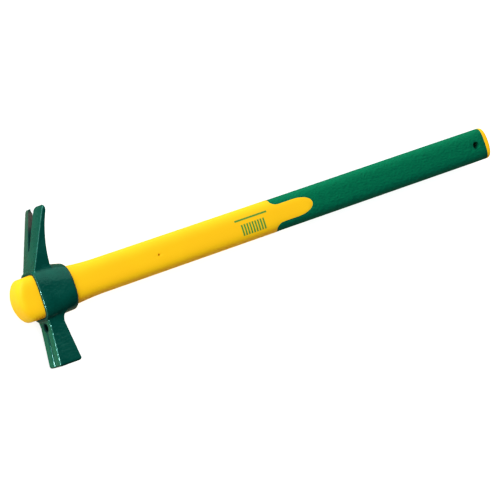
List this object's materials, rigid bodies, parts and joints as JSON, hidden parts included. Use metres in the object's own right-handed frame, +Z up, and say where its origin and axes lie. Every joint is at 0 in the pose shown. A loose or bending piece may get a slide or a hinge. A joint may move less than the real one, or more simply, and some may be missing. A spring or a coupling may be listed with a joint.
{
  "type": "carpenters claw hammer",
  "caption": "Claw hammer: forged head with square face, slotted claw and magnetic nail starter, on a moulded handle with a domed knob, windowed soft grip and hang hole.",
  "frame": {"origin": "under the middle of the hammer's box, on the surface it lies on", "axes": "+X down the handle from the head to the butt, +Y towards the claw, +Z up, square to the plane of the swing"},
  "size_m": [0.5024, 0.1332, 0.0344],
  "materials": {
    "head_paint": "glossy dark green paint over forged steel",
    "magnet": "ground bare magnet",
    "jacket_plastic": "hard yellow moulding with a soft sheen",
    "grip_rubber": "green elastomer with a fine moulded grain",
    "core_fibre": "amber glass fibre in resin"
  },
  "bodies": {
    "root": {"hammer_head": "head_paint", "nail_magnet": "magnet", "handle_jacket": "jacket_plastic", "soft_grip": "grip_rubber", "core_rod": "core_fibre"}
  },
  "joints": []
}
